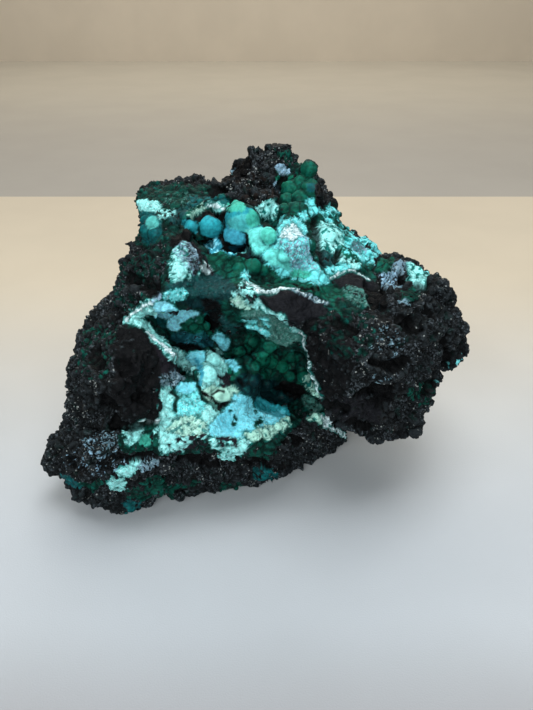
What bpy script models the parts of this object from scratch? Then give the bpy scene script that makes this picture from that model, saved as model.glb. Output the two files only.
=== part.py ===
"""Chrysocolla specimen: a craggy block of black matrix rock with two hollows, each lined with a botryoidal crust.

Metres, +Z up. The rock's broken front faces -Y, and it rests on a flat spot at Z = 0.
Corner points and pockets are written in millimetres in the rock's working frame;
FOOTPRINT_CENTRE moves the finished pieces over the origin.
"""

import math
import random

import bmesh
import bpy
from mathutils import Matrix, Vector, noise

MM = 0.001

# Driving dimensions, in millimetres
FOOTPRINT_CENTRE = (-4.1, 9.9)  # middle of the rock's bounding box in the working frame
ROCK_VOXEL = 1.5  # grain of the fused rock before it is simplified
ROCK_TRIANGLES = 4900
CRUST_THICKNESS = 2.8  # crust behind each hollow's inner wall
CRUST_GAP = 0.4  # between a crust's back and the rock that carries it
LUMP_SIZE = 9.0
LUMP_HEIGHT = 2.4
GRIT_SIZE = 4.2
GRIT_HEIGHT = 1.2
LARGE_BALL = 4.3  # botryoids above this radius are rounder

# Each mass of the rock is the convex hull of its corners: seen faces first, then the buried or far side.
MASSES = {
    "right_boulder": [
        (13, -24, 62), (11, -20, 64), (15, -26, 46), (25, -24, 31), (40, -22, 24), (49, -18, 27),
        (49, -16, 38), (56, -12, 43), (57, -10, 60), (53, -8, 69), (34, -18, 74), (18, -20, 71),
        (31, -36, 61), (20, -33, 66), (42, -28, 63), (35, -30, 40), (23, -32, 47),
        (22, 26, 70), (50, 26, 70), (59, 20, 44), (52, 22, 22), (32, 24, 14), (18, 26, 30),
    ],
    "right_spur": [
        (56, -10, 60), (62, -6, 60), (65, -4, 55), (66, -4, 50), (63, -6, 44), (59, -6, 41),
        (58, 20, 60), (64, 12, 50), (60, 16, 42), (50, 10, 50),
    ],
    "right_shoulder": [
        (47, -6, 72), (55, 0, 72), (58, 2, 69), (61, 0, 63), (61, -2, 59), (48, -14, 62),
        (46, 26, 70), (58, 20, 64), (60, 14, 54), (44, 0, 60),
    ],
    "dark_slab": [
        (-1, -24, 77), (5, -22, 79), (13, -18, 77), (19, -16, 73), (19, -22, 66), (10, -24, 67),
        (5, -26, 71), (0, -26, 74), (-2, 6, 72), (20, 8, 72), (20, 2, 60), (2, 4, 62),
    ],
    "left_lobe": [
        (-42, -18, 66), (-37, -20, 67), (-31, -24, 63), (-27, -22, 55), (-31, -27, 52), (-32, -30, 37),
        (-38, -31, 36), (-42, -40, 56), (-48, -36, 58), (-58, -26, 40), (-64, -12, 41), (-62, -10, 49),
        (-59, -6, 56), (-54, -4, 60), (-50, -6, 63), (-65, -18, 31),
        (-58, 16, 58), (-60, 20, 28), (-42, 24, 64), (-30, 12, 52), (-34, 14, 26),
    ],
    "left_foot": [
        (-74, -20, 19), (-73, -22, 17), (-68, -26, 14), (-61, -28, 10), (-56, -29, 6), (-53, -28, 3),
        (-43, -29, 5), (-35, -27, 8), (-29, -33, 24), (-30, -32, 35), (-45, -36, 40), (-65, -22, 30),
        (-56, -34, 28), (-43, -38, 25), (-68, 2, 22), (-62, 16, 12), (-50, 18, -3), (-34, 28, -3),
        (-36, 16, 26), (-64, 14, 28), (-50, -26, -2), (-42, -26, -2),
    ],
    "base": [
        (-39, -24, 6), (-26, -20, 1), (-13, -17, 0), (-1, -12, 0), (10, -6, 1), (25, 4, 1),
        (29, 6, 4), (24, -2, 18), (8, -20, 21), (-8, -27, 22), (-24, -30, 26), (-33, -30, 29),
        (4, -22, 26), (21, -12, 29), (-32, -16, -3), (-8, -10, -3), (14, 0, -3), (22, 12, -3),
        (24, 26, -3), (6, 38, -3), (-28, 36, -3), (-38, 16, -3), (32, 24, 22), (-36, 36, 24),
        (14, 46, 26), (30, 10, 10), (28, 30, 6), (8, 46, 6), (-32, 44, 6), (-46, 18, 6),
    ],
    "chalky_ledge": [
        (-32, -24, 47), (-32, -30, 38), (-31, -31, 33), (-26, -31, 29), (-19, -31, 27), (-10, -30, 26),
        (-1, -28, 25), (6, -24, 27), (8, -18, 28), (6, -8, 28), (-4, -4, 32), (-17, -12, 41),
        (-24, -16, 47), (-28, -20, 51), (-20, -24, 43), (-5, -24, 32), (-17, -34, 36),
        (-20, 4, 20), (6, 6, 20),
    ],
    "left_shoulder": [
        (-45, -2, 73), (-47, -6, 70), (-48, -8, 66), (-42, -16, 67), (-34, -20, 70), (-22, -16, 71),
        (-18, -12, 73), (-18, -10, 81), (-23, -4, 87), (-29, -3, 88), (-37, 2, 82), (-42, 2, 77),
        (-30, -20, 78), (-25, -16, 82), (-42, 20, 84), (-48, 16, 66), (-26, 22, 84), (-26, 14, 64),
    ],
    "top_slab": [
        (-43, 22, 93), (-42, 24, 94), (-38, 26, 94), (-32, 30, 94), (-25, 32, 92), (-18, 34, 91),
        (-41, 14, 88), (-39, 8, 84), (-37, 4, 81), (-30, 2, 83), (-24, 4, 85), (-20, 14, 89),
        (-34, 12, 89), (-41, 46, 90), (-22, 50, 93), (-44, 44, 74), (-20, 44, 76), (-34, 20, 74),
    ],
    "crest": [
        (-18, 34, 92), (-17, 36, 94), (-12, 38, 95), (-8, 40, 98), (-7, 40, 102), (-4, 42, 103),
        (1, 42, 103), (8, 42, 104), (9, 40, 102), (10, 38, 99), (8, 34, 93), (-1, 26, 88),
        (-9, 24, 86), (-15, 26, 88), (-5, 28, 96), (-14, 57, 97), (6, 56, 99), (-16, 54, 84),
        (10, 54, 86), (-6, 36, 78),
    ],
    "crest_right": [
        (6, 30, 95), (11, 34, 97), (16, 34, 94), (19, 36, 91), (20, 36, 88), (18, 32, 86),
        (19, 30, 84), (23, 28, 84), (24, 24, 82), (21, 16, 79), (11, 14, 82), (5, 16, 85),
        (4, 22, 91), (14, 24, 90), (17, 50, 90), (25, 44, 86), (24, 40, 74), (6, 52, 84), (6, 30, 76),
    ],
    "crest_knob": [
        (11, 34, 100), (13, 35, 100), (15, 36, 100), (17, 36, 99), (17, 36, 97), (16, 34, 95),
        (13, 32, 95), (11, 32, 97), (14, 28, 99), (12, 44, 96), (17, 42, 94),
    ],
    "right_slope": [
        (5, 8, 88), (11, 14, 89), (18, 20, 86), (25, 22, 81), (29, 20, 79), (31, 20, 77),
        (34, 18, 76), (36, 14, 75), (38, 8, 71), (39, 0, 69), (25, -10, 70), (16, -12, 72),
        (10, -8, 74), (4, -2, 77), (2, 4, 82), (23, 4, 77), (10, -2, 83),
        (40, 36, 64), (30, 44, 72), (12, 48, 78), (40, 12, 58), (4, 20, 60),
    ],
    "right_knob": [
        (36, 12, 75), (38, 13, 75), (41, 14, 75), (43, 14, 75), (47, 13, 74), (49, 12, 73),
        (51, 10, 72), (51, 8, 71), (49, 4, 70), (47, 0, 70), (40, -6, 70), (35, -4, 69),
        (35, 4, 72), (41, -3, 75), (42, 28, 68), (52, 22, 66), (50, 10, 60), (36, 20, 62),
    ],
    "dark_peak": [
        (20, -6, 74), (23, -3, 75), (26, -2, 75), (29, -3, 75), (33, -6, 73), (34, -12, 71),
        (19, -14, 72), (25, -12, 74), (22, 14, 68), (34, 14, 66),
    ],
    "bridge": [
        (-24, -16, 74), (-20, -12, 76), (-12, -8, 76), (-5, -8, 76), (3, -12, 76), (10, -14, 76),
        (19, -12, 72), (19, -14, 70), (4, -22, 72), (-1, -20, 68), (-9, -14, 66), (-18, -12, 69),
        (-24, -14, 70), (-8, -20, 75), (-5, -22, 79), (-22, 16, 66), (-2, 22, 64), (16, 18, 66),
        (-20, 8, 70), (14, 6, 72),
    ],
    "bowl_bed": [
        (-30, -2, 80), (-12, -6, 79), (6, -4, 80), (-16, 12, 94), (-4, 12, 95), (9, 26, 92),
        (-26, 28, 91), (-26, 30, 70), (9, 30, 70), (-28, 0, 66), (6, 0, 66),
    ],
    "hollow_bed": [
        (-42, -10, 60), (-40, -8, 72), (-10, -10, 72), (20, -12, 70), (24, -10, 50), (24, -12, 28),
        (10, -12, 22), (-12, -8, 30), (-18, -8, 44), (-40, -4, 50),
        (-38, 16, 68), (24, 18, 68), (26, 18, 24), (-16, 18, 24), (-38, 14, 44),
    ],
    "back": [
        (-46, 14, 22), (-54, 26, 50), (-44, 40, 80), (-20, 55, 84), (14, 55, 84), (36, 44, 74),
        (50, 28, 60), (50, 30, 34), (30, 44, 12), (-6, 54, 10), (-38, 46, 10), (-40, 30, -4),
        (24, 34, -4), (-26, 12, 70), (26, 10, 66), (20, 12, 30), (-30, 10, 30), (-30, 52, 50), (20, 52, 50),
    ],
    "back_low_ledge": [
        (-34, 44, 6), (-8, 54, 3), (14, 50, 6), (26, 42, 14), (20, 52, 26), (-6, 60, 22),
        (-30, 54, 26), (-38, 44, 22), (0, 40, 30),
    ],
    "back_left_rib": [
        (-55, 30, 58), (-50, 36, 66), (-44, 44, 70), (-34, 54, 64), (-32, 56, 48), (-40, 50, 36),
        (-52, 36, 32), (-57, 28, 42), (-30, 30, 50),
    ],
    "back_right_rib": [
        (16, 54, 78), (30, 50, 74), (44, 40, 66), (48, 36, 52), (38, 46, 38), (22, 55, 44),
        (12, 58, 60), (20, 30, 60),
    ],
    "right_rear_step": [
        (50, 30, 62), (58, 22, 60), (61, 16, 48), (58, 14, 34), (50, 24, 26), (44, 34, 40), (40, 10, 50),
    ],
}

# Rounded lumps on the rock: centre, radii
LUMPS = [
    ((-8, -4, 76), (6, 4, 4)),
    ((-8, -16, 43), (6, 5, 9)),
    ((-19, -17, 46), (5, 5, 5)),
    ((8, -2, 82), (6, 6, 6)),
    ((2, -23, 26), (6, 5, 4)),
    ((14, 27, 91), (5, 5, 6)),
    ((11, 20, 87), (5, 5, 5)),
    ((23, 25, 84), (3, 4, 3)),
    ((-33, 6, 86), (6, 5, 5)),
    ((47, -14, 52), (7, 6, 8)),
    ((30, -8, 69), (8, 8, 5)),
]

# Each hollow is a cluster of pockets: centre, radii of the open space inside the crust
LOWER_POCKETS = [
    ((6, -2, 43), (16, 14, 17)),
    ((-10, -3, 55), (12, 12, 9)),
    ((-25, -7, 60), (13, 12, 8)),
    ((13, -6, 34), (9, 12, 8)),
]
UPPER_POCKETS = [
    ((-12, 9, 90), (15, 14, 15)),
    ((-2, 11, 91), (9, 10, 11)),
    ((-23, 11, 92), (7, 8, 8)),
]

# Large botryoids in the upper hollow: centre, radius
UPPER_BALLS = [
    ((-20, 12, 86), 4.6),
    ((-26, 13, 88), 2.6),
    ((-9, 13, 85), 6.8),
    ((-13, 9, 80), 4.0),
    ((-1, 8, 82), 5.4),
    ((1, 5, 84), 3.2),
    ((-18, 4, 78), 3.0),
    ((-24, 5, 80), 3.0),
    ((-5, 3, 78), 3.0),
    ((-14, 20, 88), 3.6),
    ((-3, 19, 88), 4.0),
]


def clear_scene():
    for thing in list(bpy.data.objects):
        bpy.data.objects.remove(thing, do_unlink=True)


def new_object(name, mesh, collection):
    thing = bpy.data.objects.new(name, mesh)
    collection.objects.link(thing)
    return thing


def hull(corners, work):
    """A solid block: the convex hull of its corners, given in millimetres."""
    shape = bmesh.new()
    for corner in corners:
        shape.verts.new(Vector(corner) * MM)
    result = bmesh.ops.convex_hull(shape, input=shape.verts)
    inner = [item for item in result["geom_interior"] if isinstance(item, bmesh.types.BMVert)]
    bmesh.ops.delete(shape, geom=inner, context="VERTS")
    bmesh.ops.recalc_face_normals(shape, faces=shape.faces)
    mesh = bpy.data.meshes.new("block")
    shape.to_mesh(mesh)
    shape.free()
    return new_object("block", mesh, work)


def ellipsoid(centre, radii, work, subdivisions=2):
    """A closed ellipsoid from an icosphere, its centre and three radii given in millimetres."""
    shape = bmesh.new()
    bmesh.ops.create_icosphere(shape, subdivisions=subdivisions, radius=1.0)
    mesh = bpy.data.meshes.new("ellipsoid")
    shape.to_mesh(mesh)
    shape.free()
    place = Matrix.Translation(Vector(centre) * MM)
    mesh.transform(place @ Matrix.Diagonal((*(r * MM for r in radii), 1.0)))
    return new_object("ellipsoid", mesh, work)


def bake(thing):
    """Apply a thing's modifiers to its mesh."""
    graph = bpy.context.evaluated_depsgraph_get()
    graph.update()
    mesh = bpy.data.meshes.new_from_object(thing.evaluated_get(graph))
    thing.modifiers.clear()
    thing.data = mesh
    return thing


def combine(thing, operation, others):
    """An exact Boolean of a thing with each of the others, which are used up."""
    for other in others:
        cut = thing.modifiers.new(operation.lower(), "BOOLEAN")
        cut.operation = operation
        cut.solver = "EXACT"
        cut.object = other
        bake(thing)
        bpy.data.objects.remove(other, do_unlink=True)
    return thing


def copy_of(thing, work):
    return new_object(thing.name, thing.data.copy(), work)


def fuse(things, voxel, work):
    """One closed skin round overlapping things, which are used up."""
    shape = bmesh.new()
    for thing in things:
        shape.from_mesh(thing.data)
        bpy.data.objects.remove(thing, do_unlink=True)
    mesh = bpy.data.meshes.new("fused")
    shape.to_mesh(mesh)
    shape.free()
    fused = new_object("fused", mesh, work)
    remesh = fused.modifiers.new("skin", "REMESH")
    remesh.mode = "VOXEL"
    remesh.voxel_size = voxel * MM
    return bake(fused)


def lumpiness(point):
    """Height of the rock's broken grain at a point in millimetres, about zero on average."""
    lumps = 0.5 - noise.voronoi(point / LUMP_SIZE)[0][0]
    grit = 0.5 - noise.voronoi(point / GRIT_SIZE)[0][0]
    return LUMP_HEIGHT * lumps + GRIT_HEIGHT * grit


def roughen(thing):
    """Push the skin in and out into the lumps of broken rock."""
    moved = []
    for vertex in thing.data.vertices:
        point = vertex.co / MM
        moved.append((point + vertex.normal * lumpiness(point)) * MM)
    for vertex, place in zip(thing.data.vertices, moved):
        vertex.co = place


def simplify(thing, triangles):
    """Collapse the skin to about so many triangles."""
    thing.data.calc_loop_triangles()
    decimate = thing.modifiers.new("simplify", "DECIMATE")
    decimate.ratio = triangles / len(thing.data.loop_triangles)
    decimate.use_collapse_triangulate = True
    return bake(thing)


def ground_block(work):
    """A wide block under Z = 0, which cuts the spot that the rock rests on."""
    corners = [(x, y, z) for x in (-120, 120) for y in (-120, 120) for z in (-40, 0)]
    return hull(corners, work)


def make_rock(work):
    """The whole rock before its hollows are opened."""
    things = [hull(corners, work) for corners in MASSES.values()]
    things += [ellipsoid(centre, radii, work) for centre, radii in LUMPS]
    rock = fuse(things, ROCK_VOXEL, work)
    roughen(rock)
    simplify(rock, ROCK_TRIANGLES)
    return combine(rock, "DIFFERENCE", [ground_block(work)])


def pocket_cluster(pockets, grow, work):
    """The union of a hollow's pockets, each radius grown by so many millimetres."""
    spheres = [ellipsoid(c, [r + grow for r in radii], work) for c, radii in pockets]
    return combine(spheres[0], "UNION", spheres[1:])


def wall_balls(pocket, rows, columns, azimuths, elevations, radius, seed):
    """Botryoids in staggered rows on the inner wall of a pocket: centre, radius."""
    (cx, cy, cz), (rx, ry, rz) = pocket
    chance = random.Random(seed)
    balls = []
    for row in range(rows):
        for column in range(columns):
            across = (column + 0.5 * (row % 2) + chance.uniform(-0.2, 0.2)) / columns
            up = (row + 0.5 + chance.uniform(-0.2, 0.2)) / rows
            turn = math.radians(azimuths[0] + (azimuths[1] - azimuths[0]) * across)
            rise = math.radians(elevations[0] + (elevations[1] - elevations[0]) * up)
            centre = (
                cx + rx * math.sin(turn) * math.cos(rise),
                cy + ry * math.cos(turn) * math.cos(rise),
                cz + rz * math.sin(rise),
            )
            balls.append((centre, radius * chance.uniform(0.75, 1.2)))
    return balls


def make_crust(rock, pockets, balls, work):
    """A hollow's lining: a wall behind its pockets, with botryoids standing on the wall."""
    room = pocket_cluster(pockets, CRUST_THICKNESS, work)
    combine(room, "INTERSECT", [copy_of(rock, work)])
    spheres = [ellipsoid(centre, (r, r, r), work, 2 if r > LARGE_BALL else 1) for centre, r in balls]
    space = combine(pocket_cluster(pockets, 0.0, work), "DIFFERENCE", spheres)
    return combine(room, "DIFFERENCE", [space])


def finish(thing, name, material, collection):
    """Name a piece, give it its material and move it over the origin."""
    thing.name = name
    thing.data.name = name
    thing.data.transform(Matrix.Translation((-FOOTPRINT_CENTRE[0] * MM, -FOOTPRINT_CENTRE[1] * MM, 0.0)))
    thing.data.materials.clear()
    thing.data.materials.append(material)
    for owner in list(thing.users_collection):
        owner.objects.unlink(thing)
    collection.objects.link(thing)


def make_material(name, colour, roughness):
    material = bpy.data.materials.new(name)
    material.use_nodes = True
    shader = material.node_tree.nodes["Principled BSDF"]
    shader.inputs["Base Color"].default_value = (*colour, 1.0)
    shader.inputs["Roughness"].default_value = roughness
    shader.inputs["Metallic"].default_value = 0.0
    return material


def main():
    clear_scene()
    specimen = bpy.data.collections.new("chrysocolla_specimen")
    work = bpy.data.collections.new("work")
    for collection in (specimen, work):
        bpy.context.scene.collection.children.link(collection)

    rock = make_rock(work)
    lower_balls = wall_balls(LOWER_POCKETS[0], 4, 5, (-60, 60), (-48, 40), 3.6, seed=4)
    lower = make_crust(rock, LOWER_POCKETS, lower_balls, work)
    upper = make_crust(rock, UPPER_POCKETS, UPPER_BALLS, work)
    for pockets in (LOWER_POCKETS, UPPER_POCKETS):
        combine(rock, "DIFFERENCE", [pocket_cluster(pockets, CRUST_THICKNESS + CRUST_GAP, work)])

    black_rock = make_material("black_rock", (0.02, 0.021, 0.02), 0.75)
    malachite = make_material("malachite_crust", (0.02, 0.14, 0.09), 0.55)
    chrysocolla = make_material("chrysocolla_crust", (0.15, 0.55, 0.58), 0.5)
    finish(rock, "matrix", black_rock, specimen)
    finish(lower, "lower_hollow_crust", malachite, specimen)
    finish(upper, "upper_hollow_crust", chrysocolla, specimen)


main()
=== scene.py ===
import math

import bmesh
import bpy
import numpy as np
from mathutils import Euler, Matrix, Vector, noise
from mathutils.kdtree import KDTree


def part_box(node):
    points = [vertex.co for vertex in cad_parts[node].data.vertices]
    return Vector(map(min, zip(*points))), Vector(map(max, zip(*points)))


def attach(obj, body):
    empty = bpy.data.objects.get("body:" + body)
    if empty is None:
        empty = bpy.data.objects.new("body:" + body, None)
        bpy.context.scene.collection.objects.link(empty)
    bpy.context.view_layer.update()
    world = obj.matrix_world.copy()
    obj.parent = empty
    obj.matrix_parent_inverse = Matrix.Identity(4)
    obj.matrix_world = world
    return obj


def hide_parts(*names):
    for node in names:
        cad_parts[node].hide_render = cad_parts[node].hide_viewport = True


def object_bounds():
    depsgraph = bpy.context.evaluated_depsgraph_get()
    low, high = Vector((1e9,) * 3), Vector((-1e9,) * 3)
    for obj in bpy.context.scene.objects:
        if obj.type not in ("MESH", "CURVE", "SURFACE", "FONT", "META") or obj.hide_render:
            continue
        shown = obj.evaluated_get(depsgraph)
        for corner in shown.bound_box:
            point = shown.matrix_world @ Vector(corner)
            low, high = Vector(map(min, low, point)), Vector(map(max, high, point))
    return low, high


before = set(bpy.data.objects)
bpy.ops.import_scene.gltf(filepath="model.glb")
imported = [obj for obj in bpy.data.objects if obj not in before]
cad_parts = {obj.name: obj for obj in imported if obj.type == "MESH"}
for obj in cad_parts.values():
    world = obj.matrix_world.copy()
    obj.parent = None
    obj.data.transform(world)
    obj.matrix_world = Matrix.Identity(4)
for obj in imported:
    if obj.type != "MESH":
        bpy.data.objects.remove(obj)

CAD_LOW, CAD_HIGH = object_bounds()

# Lengths are in millimetres, and pixels are the photo's, unless a name says otherwise.
MM = 0.001
PHOTO_WIDTH, PHOTO_HEIGHT = 533, 710
FOCAL_PIXELS = 643.0
CAMERA_PLACE = Vector((4.1, -196.095, 152.5))
CAMERA_TILT = math.radians(60)

# The face size of the one even mesh that the skin becomes, and how far the crusts grow to join the rock in it
VOXEL = 0.45
CRUST_GROWTH = 0.5
CRUSTS = ("lower_hollow_crust", "upper_hollow_crust")
# How far a crust's own points may lie from it, and how far outside its box they are looked for
CRUST_REACH_METRES = 0.0018
CRUST_MARGIN = 1.5
# How many rounds soften the border between a crust and the rock
OWNER_ROUNDS = 8

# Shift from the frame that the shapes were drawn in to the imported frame
DRAWN_SHIFT = np.array((4.1, -9.9, 0.0))

# Crumbs of broken rock: how many, their radii, the size of their clumps, and the height that they start at
CRUMBS = 3600
CRUMB_SIZES = (0.7, 2.8)
CRUMB_CLUMP = 13
CRUMB_FLOOR = 1.5
# How far a ball's surface swells or sinks: by its radius, and at most
SWELLING, MOST_SWELLING = 0.16, 0.4

# What the three random generators start from
CRUMB_SEED, CRAG_SEED, SALT_SEED = 11, 5, 3

# How often points move towards their neighbours' mean, and by what share of the way
SKIN_SMOOTHING = (4, 0.5)
FINE_SMOOTHING = (12, 0.6)
BROAD_SMOOTHING = (60, 0.6)
# The drop below the neighbours' mean where the painted shade of hollows starts, and where it is full; the
# fine pair, taken as a rise, marks the ridges that get a painted highlight
FINE_BEND = (0.04, 0.5)
BROAD_BEND = (0.3, 1.8)

# Each noise's size and its seed
NOISES = {
    "swell": (9.0, 1), "lump": (4.2, 2), "fine": (1.9, 3), "block": (7.5, 4), "crumb": (2.1, 5),
    "dome": (3.4, 6), "loose": (14, 7), "knob": (3.3, 8), "pit": (3.2, 9), "ridge": (11.0, 10),
    "film": (17, 11), "torn": (6, 12), "deep": (23, 13), "chalk": (13, 14), "chips": (4, 15),
    "flecks": (11, 16), "warp_x": (3.4, 21), "warp_y": (3.4, 22), "warp_z": (3.4, 23), "fray": (1.3, 31),
    "wide_fray": (3.0, 32), "speckle": (1.2, 33), "wide_speckle": (3.2, 34),
}
BALL_SEED = 41
# How high each form of the relief stands, or how deep a pit is
HEIGHTS = {
    "swell": 0.9, "lump": 1.1, "fine": 0.5, "block": 2.4, "crumb": 1.1, "dome": 1.8, "knob": 1.5, "pit": 1.1,
    "ridge": 1.1,
}
# The heights between which velvety balls turn from smooth to half rough
CREST_HEIGHTS = (82, 90)
# No gap or notch is deeper than this
DEEPEST = 5
# How wide the slope of a gap's or a notch's edge is, in radii, and how dark the painted shade on its floor is
GAP_EDGE = (0.8, 0.9)
NOTCH_EDGE = (1.4, 0.0)
# The distance that a search for the nearest starts from
FAR = 99.0

# How far off the skin a ray starts that tests whether the camera sees it, and how its border is softened
RAY_START = 0.6
SEEN_ROUNDS, SEEN_EDGE = 30, (0.02, 0.2)

# How many pixels apart the rays of a patch and of the band are
PATCH_GRID, BAND_GRID = 2, 3
# How far paint reaches from a ray: at a patch's outline, and how much more at most inside it
EDGE_REACH, INNER_REACH = 0.5, 1.5
BAND_STRENGTH, BAND_REACH = 0.85, 1.3
STROKE_SPARE, STROKE_RAGGED = 0.15, 0.5
PIXELS_A_MM = 3

# The pieces that the skin is split into, each with the CAD node that it stands for and its material slot.
# The rock is split only to keep each piece's mesh small.
PIECES = [
    ("lower_hollow_crust_surface", "lower_hollow_crust", "malachite_crust"),
    ("upper_hollow_crust_surface", "upper_hollow_crust", "chrysocolla_crust"),
]
ROCK_PLACES = ("front_left", "front_middle", "front_right", "back_left", "back_right")
PIECES += [("matrix_" + place, "matrix", "matrix_rock") for place in ROCK_PLACES]
# Where the back starts in Y, and where the front and the back are split in X
BACK_START = 6
FRONT_CUTS = (-22, 18)
BACK_CUT = 2
# A group of a piece's faces that is smaller than this goes to the piece around it
ISLAND = 400

# The stage: where its floor starts and ends in Y, how far it goes to each side, and the backdrop's top
FLOOR_START = -700
STAGE_SIDE = 1500
ROOM_END = 1400
BACKDROP_TOP = 900
# The cloth's shades along the stage: where each one starts and is full, and its sRGB colour
FLOOR_SHADES = [
    (0, 0, (148, 148, 150)), (-115, -75, (172, 176, 180)), (-60, 180, (196, 184, 163)),
    (329.0, 331.0, (160, 155, 146)), (400, 1000, (168, 162, 148)),
]
BACKDROP_SHADES = [(0, 0, (213, 202, 184))]

# Area lights: name, place, target, width and height, watts, colour
LIGHTS = [
    ("overhead", (40, -60, 620), (0, 0, 30), (420, 360), 3.5, (0.94, 0.98, 1.0)),
    ("front", (-50, -560, 330), (0, 0, 50), (640, 320), 4.1, (0.92, 0.98, 1.0)),
    ("far", (0, 1000, 900), (0, 1000, 0), (1600, 800), 12.0, (1.0, 0.95, 0.88)),
]
ROOM_COLOUR = (0.93, 0.95, 1.0, 1.0)
ROOM_STRENGTH = 0.1

# The sRGB colours of the bare rock: its two blacks, its stains, and what stands out on it: pale grit, the
# painted highlight on ridges, and bright specks painted as glints
BLACK, DARK_GREY = (0, 1, 1), (16, 20, 22)
BROWN_STAIN, GREEN_STAIN = (30, 25, 23), (2, 38, 34)
PALE_GRIT, RIDGE_HIGHLIGHT, BRIGHT_SPECK_AND_GLINT = (84, 92, 98), (50, 58, 62), (160, 166, 162)
# The sRGB colours that lie on the coats, and those of the painted shade in their hollows: teal green on
# chalk, partly the crust's own green, and very dark green on velvet
FROST, GLAZE, GREEN_DOT = (214, 238, 240), (14, 100, 92), (8, 50, 42)
CHALK_HOLLOW_GREEN_SHADE, VELVET_HOLLOW_SHADE = (4, 84, 76), (0, 16, 14)
CLOTH_CLOUD = (90, 84, 76)

# The large balls in the upper hollow: centre in the frame they were drawn in, and radius
UPPER_BALLS = [
    ((-20, 12, 86), 4.6), ((-26, 13, 88), 2.6), ((-9, 13, 85), 6.8), ((-13, 9, 80), 4.0),
    ((-1, 8, 82), 5.4), ((1, 5, 84), 3.2), ((-18, 4, 78), 3.0), ((-24, 5, 80), 3.0),
    ((-5, 3, 78), 3.0), ((-14, 20, 88), 3.6), ((-3, 19, 88), 4.0),
]

# Each coat's sRGB colour, how chalky it is, how velvety it is, and how gritty its relief is
PALETTE = {
    "bare": ((26, 28, 27), 0.0, 0.0, 1.0),
    # The darkest coat is painted shade: in gaps and grooves, under ledges and deep in the hollows, over rock
    # that is dark of its own
    "soot": ((3, 4, 5), 0.0, 0.0, 0.6),
    "coal": ((7, 8, 9), 0.0, 0.0, 1.1),
    "jet": ((9, 10, 12), 0.0, 0.0, 0.5),
    "deep": ((2, 38, 42), 0.0, 0.7, 0.5),
    "slate": ((16, 58, 60), 0.1, 0.6, 0.4),
    "lagoon": ((34, 138, 150), 0.1, 0.0, 0.1),
    "azure": ((56, 150, 172), 0.1, 0.0, 0.25),
    "seafoam": ((100, 204, 196), 0.1, 0.0, 0.2),
    "jade": ((62, 170, 150), 0.2, 0.3, 0.3),
    "fringe": ((14, 104, 98), 0.2, 0.6, 0.6),
    "plum": ((26, 24, 30), 0.0, 0.0, 0.25),
    "brown": ((26, 21, 19), 0.0, 0.0, 0.9),
    "facet": ((20, 21, 25), 0.0, 0.0, 0.3),
    "leaf": ((7, 80, 64), 0.0, 1.0, 0.45),
    "moss": ((3, 60, 50), 0.0, 1.0, 0.6),
    "bottle": ((2, 42, 36), 0.0, 1.0, 0.8),
    "teal": ((5, 78, 82), 0.1, 0.8, 0.5),
    "ink": ((8, 52, 66), 0.0, 0.6, 0.4),
    "fern": ((12, 100, 78), 0.0, 1.0, 0.4),
    "sky": ((112, 206, 222), 0.5, 0.0, 0.25),
    # Sky blue made lighter than its own colour: painted light in the hollows that the lamps reach too little
    "ice": ((150, 238, 255), 0.0, 0.0, 0.3),
    "turquoise": ((104, 208, 212), 1.0, 0.0, 0.4),
    "mint": ((142, 218, 215), 1.0, 0.0, 0.45),
    "cream": ((158, 208, 192), 1.0, 0.0, 0.45),
    "white": ((210, 232, 236), 0.8, 0.0, 0.7),
    "grey": ((98, 124, 138), 0.8, 0.0, 1.0),
    "lilac": ((124, 158, 180), 0.8, 0.0, 0.8),
    "sage": ((62, 112, 104), 0.5, 0.4, 0.5),
}

# The pale colours whose edges turn green
FRINGED = ("turquoise", "mint", "cream", "white", "sky", "ice")
# The colours that lie in fine flecks
FLECKS = ("grey", "lilac", "white", "sage")
# The colours that lie over others as a veil, not in spots
VEILS = ("azure", "lagoon", "ink", "jade", "seafoam")


def pixels_of(text):
    """The pixels written as pairs of across,down."""
    return [tuple(int(part) for part in pair.split(",")) for pair in text.split()]


def rows_of(text):
    """A table's rows: the words before each bar, and the pixels after it. Indented lines continue a row."""
    rows = [line.split("|") for line in text.replace("\n    ", " ").split("\n") if "|" in line]
    return [(words.split(), pixels_of(pixels)) for words, pixels in rows]


# The outline of the mineralised band, whose ground is dark green
BAND = pixels_of(
    "136,190 165,184 215,186 240,200 262,205 275,175 277,164 300,160 318,163 318,205 342,206 352,221 "
    "366,231 380,243 388,254 380,283 346,284 332,280 350,290 368,288 362,306 340,312 325,300 300,290 "
    "262,288 258,300 264,312 300,334 306,345 311,375 313,395 325,412 328,425 302,414 290,428 275,445 "
    "272,460 240,455 200,450 158,448 156,425 160,392 158,378 178,372 165,345 140,325 125,321 140,308 "
    "150,300 165,285 172,262 168,245 150,244 140,240 137,215"
)

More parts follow.
